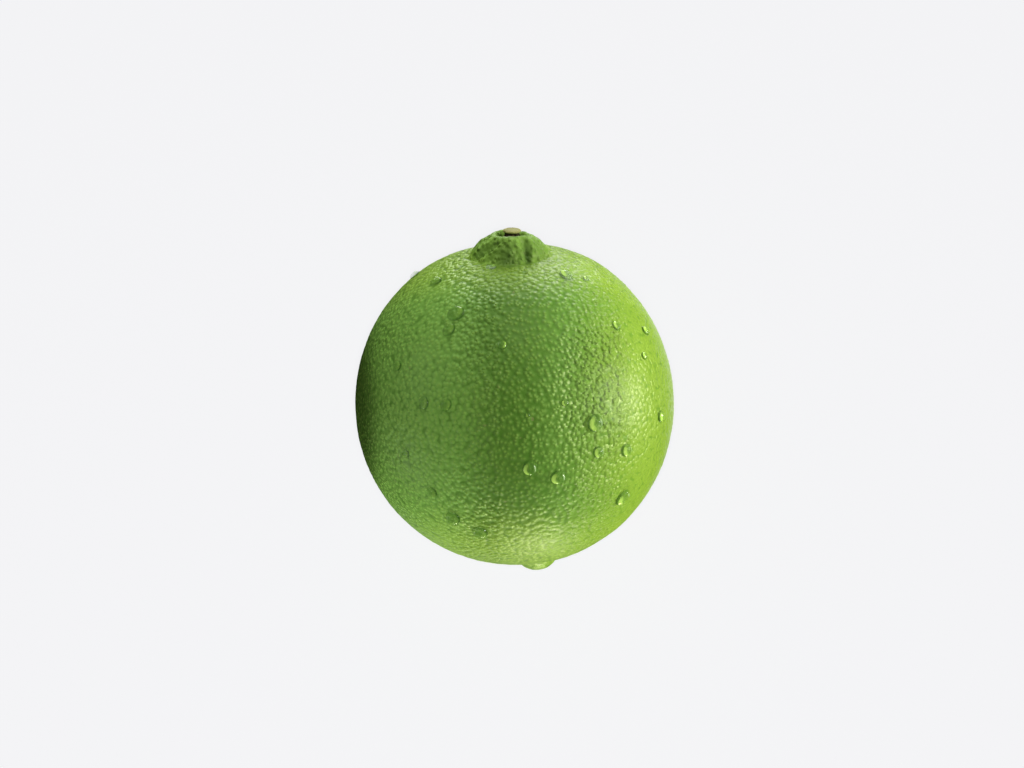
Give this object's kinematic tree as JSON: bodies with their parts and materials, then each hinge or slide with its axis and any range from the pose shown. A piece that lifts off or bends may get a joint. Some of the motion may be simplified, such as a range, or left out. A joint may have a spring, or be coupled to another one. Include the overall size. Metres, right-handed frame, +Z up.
{
  "type": "lime",
  "caption": "Whole fresh green lime with a knobbly collar, stem button and blossom nipple, lying on its side as fruit for a bowl, board or drink setting.",
  "frame": {"origin": "middle of the small flat spot that the fruit rests on, on the surface below it", "axes": "+Z up; the stem end points towards +Y, 30 degrees above the surface; the pictured side faces up, towards +Z and a little towards -Y"},
  "size_m": [0.0551, 0.0561, 0.055],
  "materials": {
    "rind": null,
    "dried_calyx": "dry, dark brown, matt",
    "cut_stem": "pale straw-coloured cut end of a woody stem, matt"
  },
  "bodies": {
    "root": {"fruit": "rind", "calyx": "dried_calyx", "stem_stub": "cut_stem"}
  },
  "joints": []
}
